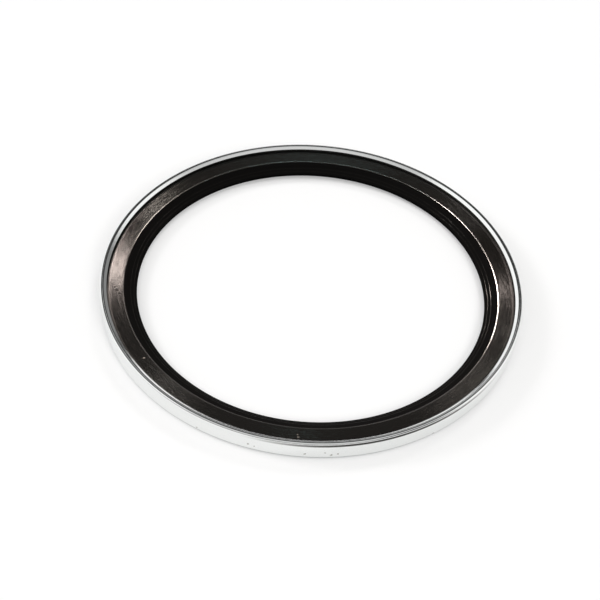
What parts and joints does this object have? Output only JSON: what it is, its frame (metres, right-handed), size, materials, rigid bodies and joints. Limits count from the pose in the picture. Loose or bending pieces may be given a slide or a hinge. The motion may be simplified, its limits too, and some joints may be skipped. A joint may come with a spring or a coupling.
{
  "type": "hydraulic wiper seal",
  "caption": "Metal-cased rod wiper ring: a thin drawn steel case with a bonded black rubber wiper, whose flat band falls through a funnel to an inward wiping lip.",
  "frame": {"origin": "centre of the ring on the flange's seat face", "axes": "+Z along the rod's axis, from the seat face to the open rim; X and Y are free, since the ring is round"},
  "size_m": [0.12, 0.12, 0.006],
  "materials": {
    "steel_case": "bare drawn steel, satin, slightly scuffed",
    "rubber_wiper": "black moulded rubber, ground in circles on the band"
  },
  "bodies": {
    "root": {"steel_case": "steel_case", "rubber_wiper": "rubber_wiper"}
  },
  "joints": []
}
